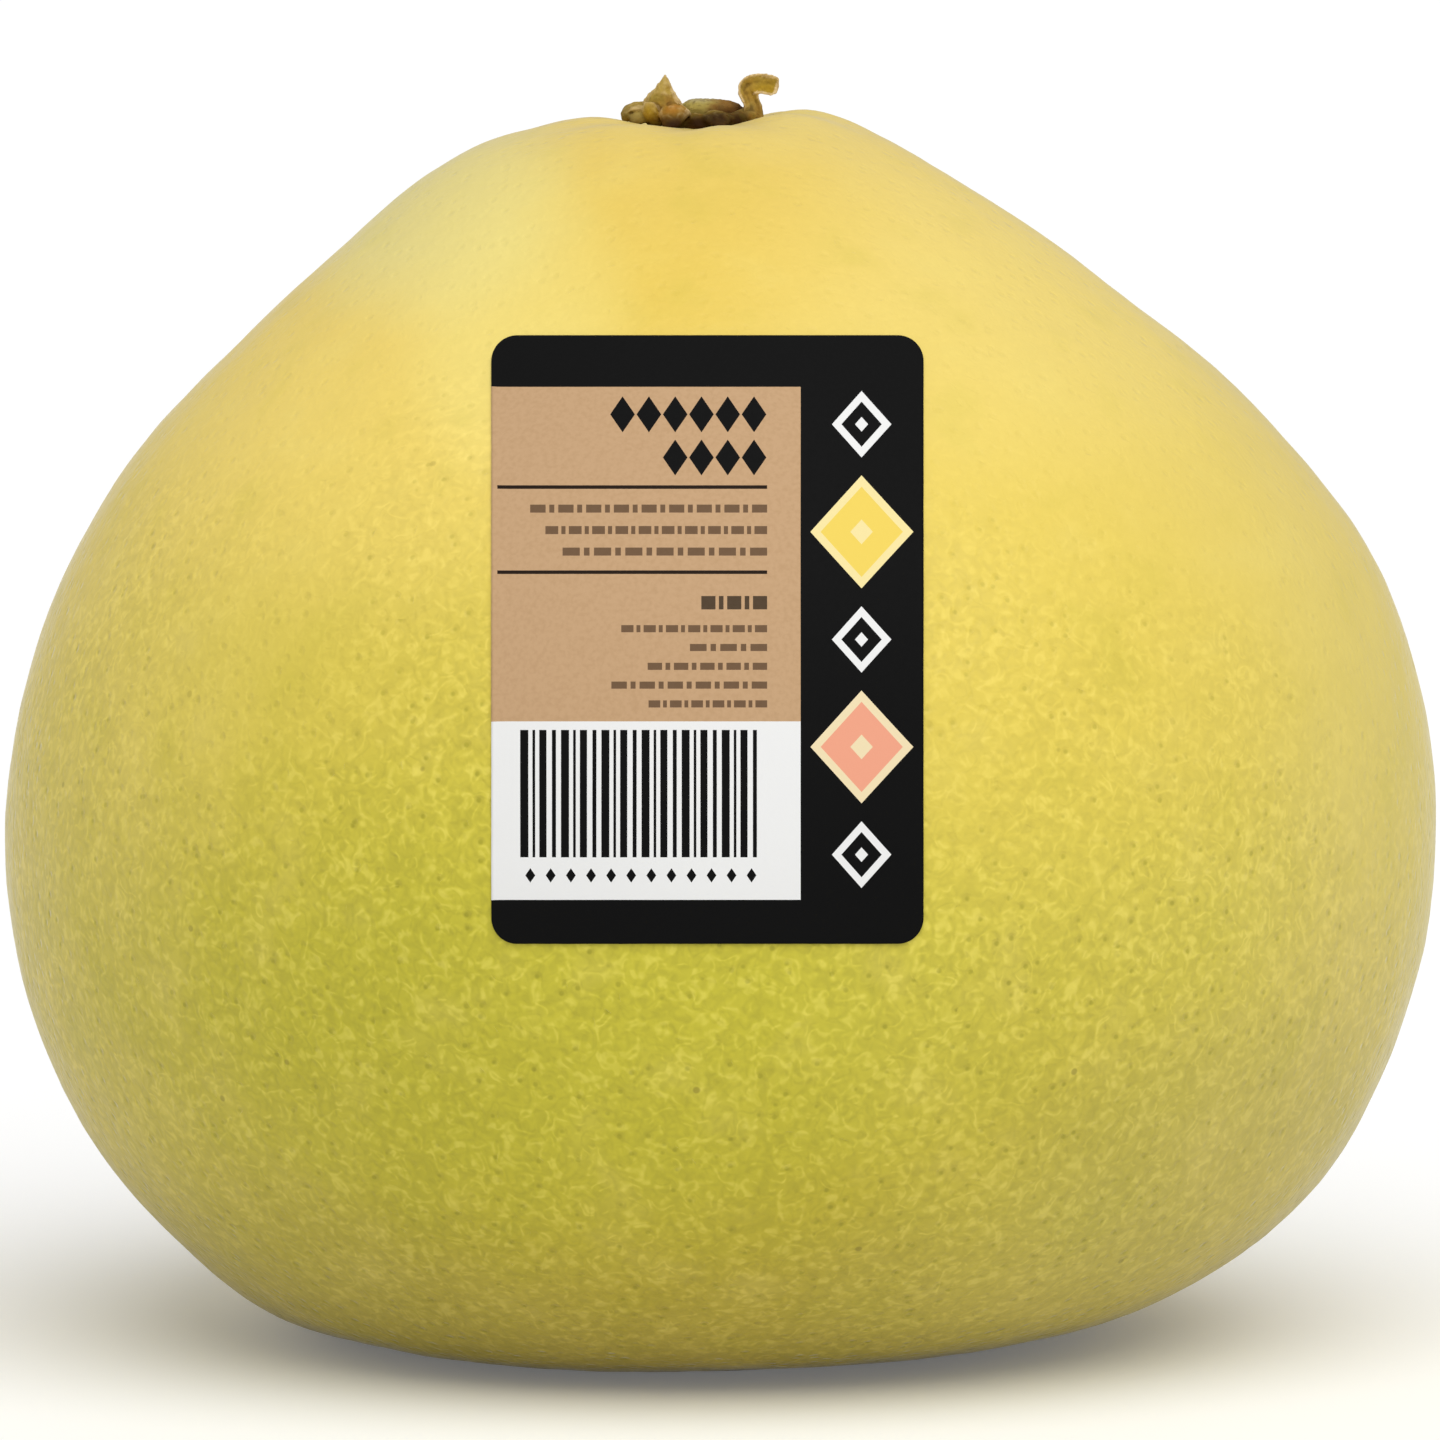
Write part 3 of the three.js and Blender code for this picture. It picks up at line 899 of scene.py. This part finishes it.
def peel_material():
    material, tree, shader = shader_tree("peel")
    place = object_place(tree)
    axes = axes_of(place)
    x, _, z = axes
    drift = noise_wire(place, DRIFT_SIZE, detail=3, shift=2.0) - 0.5
    cloud = noise_wire(place, CLOUD_SIZE, detail=2, shift=7.0) - 0.5
    winding = noise_wire(place, WINDING_SIZE, detail=1.0, distortion=0.9, shift=1.0)
    gland_distance, gland_chance = cell_wires(place, GLAND_SIZE)
    speck_distance, speck_chance = cell_wires(place, SPECK_SIZE)

    # The painted reflection's share: 0 in the middle of the front, growing towards the outline.
    painted_reflection = between(squared(x, *REFLECTION_FREE_X) + squared(z, *REFLECTION_FREE_Z) + drift * 0.5 + cloud * 0.12, 0.22, 0.95)
    level = z / (FRUIT_HEIGHT * MM) + x * PATTERN_TILT
    strong = between(level + drift * 0.8, PATTERN_TOP, PATTERN_FULL, 0.12, 1.22) * (1 - 0.30 * painted_reflection)
    gland = between(gland_distance, 0.12, 0.46, 1, 0) * between(gland_chance, 0.0, 1.0, 0.15, 1)
    pit = between(gland_distance, 0.09, 0.28, 1, 0) * (gland_chance > 0.62)
    speck = between(speck_distance, 0.035, 0.065, 1, 0) * (speck_chance > 0.5)
    strokes = stroke_wire(place, winding) * strong

    colour = mixed(pit * strong * 0.42, ground_colour(axes, drift, cloud, painted_reflection), PIT)
    colour = tinted(colour, 1 + strokes * 0.056)
    colour = mixed(between(strokes, 0.0, 2.4, smooth=False) * 0.095, colour, PALE_STROKE)
    colour = painted(colour, scar_coats(axes, cloud, winding))
    colour = mixed(speck * strong * 0.45, colour, SPECK)
    height = (winding - gland) * between(level, PATTERN_TOP, PATTERN_FULL, 0.061, 0.118)
    set_sockets(shader, {
        "Base Color": colour, "Roughness": 0.44 + 0.12 * winding, "Normal": bump(height), **PEEL_SURFACE,
    })
    return material


# ---- calyx and stem materials

DRY_SPECULAR = 0.08
RISE_TOP = 4.5  # mm above the skin, where the calyx's last ground colour is reached
RISE_COLOURS = (  # share of that height, and the ground colour there
    # The darkest stops, next to the skin, are partly the dried tissue's dark brown and partly painted shade.
    (0.00, (0.032, 0.014, 0.002)),
    (0.28, (0.080, 0.036, 0.005)),
    (0.46, (0.30, 0.185, 0.026)),
    (0.70, (0.46, 0.315, 0.055)),
    (1.00, (0.48, 0.335, 0.070)),
)
CALYX_TINTS = {  # the coats over it, first to last
    "fair": (0.44, 0.32, 0.085),
    "rust": (0.42, 0.20, 0.02),
    "warm": (0.44, 0.150, 0.010),
    "olive": (0.19, 0.15, 0.025),
    # painted highlight on edges that stand out
    "edge": (0.62, 0.45, 0.19),
    "gold": (0.42, 0.26, 0.018),
    # painted highlight along the lobes' rims
    "rim": (0.78, 0.58, 0.30),
    # painted shade in creases
    "crease_shade": (0.07, 0.030, 0.004),
    "streak": (0.16, 0.08, 0.012),
    # painted shadow in the hollows at the front
    "painted_shadow": (0.026, 0.009, 0.001),
}
STEM_TINTS = {
    # darker low down on the left: partly the tissue's dark brown, partly painted shade where the cup closes
    # round the stub
    "low left": (0.12, 0.075, 0.010),
    "left": (0.40, 0.31, 0.075),
    "top left": (0.46, 0.39, 0.18),
    # darker low down on the right: partly the tissue's dark brown, partly painted shade
    "low right": (0.08, 0.030, 0.005),
    "right": (0.27, 0.140, 0.030),
    "top": (0.38, 0.31, 0.15),
    "grain": (0.10, 0.050, 0.012),
    # painted shade in creases
    "crease_shade": (0.05, 0.022, 0.004),
    # painted shadow in the hollows at the front
    "painted_shadow": (0.03, 0.012, 0.002),
}


def ragged_rise(place, size, amount):
    """Height above the skin in mm, made uneven by noise of a size and an amount in mm."""
    return attribute(place.tree, "rise") + (noise_wire(place, size, detail=3) - 0.5) * amount


def calyx_shares(place, rise, streak):
    """How strongly each tint covers the calyx, from the first coat to the last. Some coats are painted
    highlight and painted shade.
    """
    tree = place.tree
    x, _, _ = axes_of(place)
    edge = attribute(tree, "edge")
    # A painted highlight along the lobes' rims, higher off the skin and stronger towards the right; the gold
    # gives way under it.
    rim = between(attribute(tree, "rim") + (noise_wire(place, 0.8) - 0.5) * 0.3, 0.60, 0.88)
    rim = rim * between(rise, 1.3, 2.5) * between(x / MM, -8, -3, 0.40, 0.90)
    gold = attribute(tree, "gold").math("MINIMUM", 1.0) * (1 - rim * 0.8)
    return {
        "fair": attribute(tree, "fair").math("MINIMUM", 1.0) * 0.80,
        "rust": between(noise_wire(place, 2.6, detail=2, shift=3.0), 0.50, 0.68) * 0.40,
        "warm": attribute(tree, "warm") * 0.85,
        "olive": between(noise_wire(place, 1.2, detail=2, shift=8.0), 0.50, 0.66) * 0.35,
        # painted highlight on edges that stand out, up off the skin
        "edge": between(edge, 0.02, 0.16) * between(rise, 0.8, 2.0) * 0.6,
        "gold": gold * 0.90,
        "rim": rim * 0.90,
        # painted shade in creases
        "crease_shade": between(edge, -0.02, -0.12) * (0.6 - gold * 0.5),
        "streak": between(streak, 0.45, 0.7) * 0.25,
        # painted shadow in the hollows at the front
        "painted_shadow": attribute(tree, "painted_shadow").math("MINIMUM", 0.92),
    }


def calyx_material():
    material, tree, shader = shader_tree("calyx_dry")
    place = object_place(tree)
    rise = ragged_rise(place, 1.6, 1.2)
    streak = noise_wire(place, 0.5, detail=3, shift=6.0)
    coats = [(share, CALYX_TINTS[name]) for name, share in calyx_shares(place, rise, streak).items()]
    # darkest next to the skin: partly dark brown tissue, partly painted shade
    colour = painted(ramp(between(rise, 0.0, RISE_TOP, smooth=False), RISE_COLOURS), coats)
    height = streak * 0.10 + noise_wire(place, 0.25, detail=1) * 0.04
    set_sockets(shader, {
        "Base Color": colour, "Roughness": 0.55 + 0.25 * streak, "Specular IOR Level": DRY_SPECULAR,
        "Normal": bump(height),
    })
    return material


def stem_material():
    material, tree, shader = shader_tree("stem_cut")
    place = object_place(tree)
    x, _, _ = axes_of(place)
    rise = ragged_rise(place, 1.4, 0.8)
    grain = noise_wire(place, 0.7, detail=4, shift=1.5)
    tints = STEM_TINTS
    # Low down, where the cup closes round the stub, both sides darken: partly the tissue's dark brown, partly
    # painted shade.
    left = mixed(between(rise, 1.2, 2.6), tints["low left"], tints["left"])
    left = mixed(between(rise, 2.6, 3.2) * 0.7, left, tints["top left"])
    right = mixed(between(rise, 1.2, 3.2), tints["low right"], tints["right"])
    rag = (noise_wire(place, 1.6, detail=3, shift=4.0) - 0.5) * 5.0
    colour = painted(mixed(between(x / MM + rag, -2.4, 0.6), left, right), (
        (between(rise, 2.9, 3.3) * 0.6, tints["top"]),
        (between(grain, 0.48, 0.68) * 0.45, tints["grain"]),
        # painted shade in creases
        (between(attribute(tree, "edge"), -0.02, -0.10) * 0.6, tints["crease_shade"]),
        # painted shadow in the hollows at the front
        ((attribute(tree, "painted_shadow") * 0.8).math("MINIMUM", 0.8), tints["painted_shadow"]),
    ))
    height = grain * 0.14 + noise_wire(place, 0.22, detail=1) * 0.05
    set_sockets(shader, {
        "Base Color": colour, "Roughness": 0.75, "Specular IOR Level": DRY_SPECULAR, "Normal": bump(height),
    })
    return material


# ---- label material

PANEL_RIGHT = 10.45  # mm right of the label's middle, as are the other lefts and rights
KRAFT_TOP = 28.15  # mm above the label's middle, as are the other tops and bottoms
PANEL_SPLIT = -9.15
WHITE_BOTTOM = -29.0
ROWS_RIGHT = 6.7  # where the rows of marks on the kraft field end
RULES_LEFT = -23.4
RULES = (17.0, 7.5)  # heights
RULE_WIDTH = 0.40
LOZENGE_ROWS = ((25.1, 6), (20.3, 4))  # height and how many
LOZENGE_PITCH = 2.95
LOZENGE_FILL = 0.47  # half of its width, as a share of the pitch
LOZENGE_HEIGHT = 4.0
DASH_ROWS = (  # height, pitch, how many and thickness
    (14.6, 3.1, 8, 0.9), (12.2, 2.6, 9, 0.9), (9.8, 3.5, 6, 0.9), (4.1, 2.9, 2, 1.5), (1.2, 2.5, 6, 0.8),
    (-0.9, 3.4, 2, 0.8), (-3.0, 2.95, 4, 0.8), (-5.1, 3.15, 5, 0.8), (-7.2, 2.4, 5, 0.8),
)
DASH_END = 0.55  # in shares of the pitch
SHORT_DASH = (0.69, 0.87)  # and a short dash that follows each long one
DASH_STRENGTH = 0.85
BOLD_DASH = 1.0  # thicker ones are black
STRIPES_ACROSS = (-20.9, 6.1)  # left and right ends of the rows on the white field
STRIPES_UP = (-24.3, -10.1)  # bottom and top
STRIPE_PITCH = 4.5  # after this far the stripes repeat
STRIPES = ((-0.1, 0.9), (1.35, 1.65), (2.1, 2.9), (3.5, 3.95))  # left and right ends in the pitch
DOT_PITCH = 2.25
DOT_START = 1.1
DOT_HEIGHT = -26.3
DOT_HALF_SIZES = (0.55, 0.8)
INK = (0.0045, 0.0045, 0.0045)
FAINT_INK = (0.10, 0.055, 0.030)
RULE_INK = (0.02, 0.012, 0.008)
KRAFT = (0.56, 0.36, 0.20)
KRAFT_FIBRE = (0.42, 0.25, 0.12)
PAPER_WHITE = (0.84, 0.84, 0.83)
SMALL_LOZENGE = (3.3, 3.7, 0.68, PAPER_WHITE, INK)  # half width, half height, share inside the rim, colours
YELLOW_LOZENGE = (5.7, 6.3, 0.80, (0.90, 0.76, 0.36), (0.87, 0.65, 0.12))
SALMON_LOZENGE = (5.7, 6.3, 0.80, (0.86, 0.72, 0.45), (0.86, 0.37, 0.24))
STRIP_LOZENGES = (SMALL_LOZENGE, YELLOW_LOZENGE, SMALL_LOZENGE, SALMON_LOZENGE, SMALL_LOZENGE)
STRIP_MIDDLE = 17.25
STRIP_TOP = 24.0  # the first lozenge's height
STRIP_PITCH = 12.0
STRIP_EYE = 0.22  # the middle dot's share of its lozenge


def repeated(value, pitch):
    """The value's place in its step of the pitch, from 0 to the pitch."""
    return value.math("WRAP", pitch, 0.0)


def lozenge_reach(across, along, half_width, half_height):
    """0 in the middle of a lozenge and 1 on its border."""
    return (across / half_width).math("ABSOLUTE") + (along / half_height).math("ABSOLUTE")


def band(up, height, thickness):
    """1 in a level band about a height."""
    return inside(up, height - thickness / 2, height + thickness / 2)


def kraft_print(right, up, fibre):
    colour = mixed(between(fibre, 0.35, 0.75) * 0.30, KRAFT, KRAFT_FIBRE)
    for height in RULES:
        rule = band(up, height, RULE_WIDTH) * inside(right, RULES_LEFT, ROWS_RIGHT)
        colour = mixed(rule, colour, RULE_INK)
    step = repeated(ROWS_RIGHT - right, LOZENGE_PITCH) - LOZENGE_PITCH / 2
    for height, count in LOZENGE_ROWS:
        reach = lozenge_reach(step, up - height, LOZENGE_PITCH * LOZENGE_FILL, LOZENGE_HEIGHT / 2)
        row = inside(right, ROWS_RIGHT - count * LOZENGE_PITCH, ROWS_RIGHT)
        colour = mixed((reach < 1.0) * row, colour, INK)
    for height, pitch, count, thickness in DASH_ROWS:
        place = repeated(ROWS_RIGHT - right, pitch) / pitch
        dash = (place < DASH_END) + inside(place, *SHORT_DASH)
        row = inside(right, ROWS_RIGHT - (count + DASH_END) * pitch, ROWS_RIGHT) * band(up, height, thickness)
        colour = mixed(dash * row * DASH_STRENGTH, colour, INK if thickness > BOLD_DASH else FAINT_INK)
    return colour


def stripe_print(right, up):
    """Upright stripes of several widths, over a row of small lozenges. They repeat, and code nothing."""
    along = right - STRIPES_ACROSS[0]
    beat = repeated(along, STRIPE_PITCH)
    bars = [inside(beat, start, end) for start, end in STRIPES]
    across = inside(right, *STRIPES_ACROSS)
    stripes = sum(bars[1:], bars[0]) * across * inside(up, *STRIPES_UP)
    dot = lozenge_reach(repeated(along, DOT_PITCH) - DOT_START, up - DOT_HEIGHT, *DOT_HALF_SIZES) < 1.0
    return mixed(stripes + dot * across, PAPER_WHITE, INK)


def strip_print(right, up):
    """Lozenges down the black strip."""
    colour = INK
    for number, (half_width, half_height, share, rim, middle) in enumerate(STRIP_LOZENGES):
        height = STRIP_TOP - number * STRIP_PITCH
        reach = lozenge_reach(right - STRIP_MIDDLE, up - height, half_width, half_height)
        colour = painted(colour, ((reach < 1.0, rim), (reach < share, middle), (reach < STRIP_EYE, rim)))
    return colour


def label_material():
    material, tree, shader = shader_tree("label_print")
    right, up, _ = axes_of(Wire(add_node(tree, "UVMap", {}, uv_map="print")))
    place = object_place(tree)
    fibre = noise_wire(place, 0.5, detail=4)
    panel = right < PANEL_RIGHT
    colour = painted(strip_print(right, up), (
        (panel * inside(up, PANEL_SPLIT, KRAFT_TOP), kraft_print(right, up, fibre)),
        (panel * inside(up, WHITE_BOTTOM, PANEL_SPLIT), stripe_print(right, up)),
    ))
    height = noise_wire(place, 0.35, detail=2) * 0.012
    set_sockets(shader, {
        "Base Color": colour, "Roughness": 0.55 + 0.15 * fibre, "Specular IOR Level": 0.06,
        "Normal": bump(height),
    })
    return material


# ---- studio

FLOOR_HALF_SIDE = 60.0  # metres
FLOOR_WHITE = (0.92, 0.92, 0.92, 1)
FLOOR_GLOW = 0.13  # lifts the floor to white for the camera
WORLD_LIGHT = 0.46  # the light all round. The camera sees white
WHITE = (1, 1, 1, 1)
SUN_STRENGTH = 1.87
SUN_AZIMUTH = 16  # degrees, where 0 is the camera's side and 90 the right
SUN_ELEVATION = 58
SUN_ANGLE = 62  # so wide that its shadows are soft


def seen_by_camera(tree):
    """1 for what the camera sees directly, 0 for what only lights the scene."""
    return Wire(add_node(tree, "LightPath", {}), "Is Camera Ray")


def floor_material():
    material, tree, shader = shader_tree("floor_white")
    set_sockets(shader, {
        "Base Color": FLOOR_WHITE, "Roughness": 1.0, "Specular IOR Level": 0.0,
        "Emission Color": WHITE, "Emission Strength": seen_by_camera(tree) * FLOOR_GLOW,
    })
    return material


def make_floor():
    side = FLOOR_HALF_SIDE
    mesh = bpy.data.meshes.new("floor")
    corners = [(-side, -side, 0), (side, -side, 0), (side, side, 0), (-side, side, 0)]
    mesh.from_pydata(corners, [], [(0, 1, 2, 3)])
    mesh.materials.append(floor_material())
    floor = add_object("floor", mesh)


def make_world():
    world = bpy.data.worlds.new("studio")
    bpy.context.scene.world = world
    world.use_nodes = True
    tree = world.node_tree
    strength = WORLD_LIGHT + seen_by_camera(tree) * (1.0 - WORLD_LIGHT)
    set_sockets(tree.nodes["Background"], {"Color": WHITE, "Strength": strength})


def make_sun():
    """A far soft light from above, a little right of the camera."""
    light = bpy.data.lights.new("top_light", "SUN")
    light.energy, light.angle = SUN_STRENGTH, math.radians(SUN_ANGLE)
    made = add_object("top_light", light)
    a, e = math.radians(SUN_AZIMUTH), math.radians(SUN_ELEVATION)
    away = Vector((math.sin(a) * math.cos(e), -math.cos(a) * math.cos(e), math.sin(e)))
    made.rotation_euler = away.to_track_quat("Z", "Y").to_euler()


def make_camera():
    camera = bpy.data.cameras.new("camera")
    camera.sensor_width = SENSOR
    camera.lens = SENSOR * SIGHT_DISTANCE / (PICTURE_SIDE * PICTURE_SCALE)
    camera.clip_start, camera.clip_end = CLIP_NEAR, CLIP_FAR
    made = add_object("camera", camera)
    made.location = SIGHT_POINT
    made.rotation_euler = (math.pi / 2 - SIGHT_RISE, 0, 0)
    bpy.context.scene.camera = made


make_camera()
make_floor()
make_world()
make_sun()
bpy.context.scene.view_settings.view_transform = "Standard"

fruit = make_fruit()
dress(fruit, peel_material())
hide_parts("pomelo_fruit")

calyx = make_calyx()
dress(calyx, calyx_material())
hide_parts("calyx")

stub = make_stub()
dress(stub, stem_material())
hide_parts("stem_stub")

label = make_label(fruit)
dress(label, label_material())
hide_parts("label")
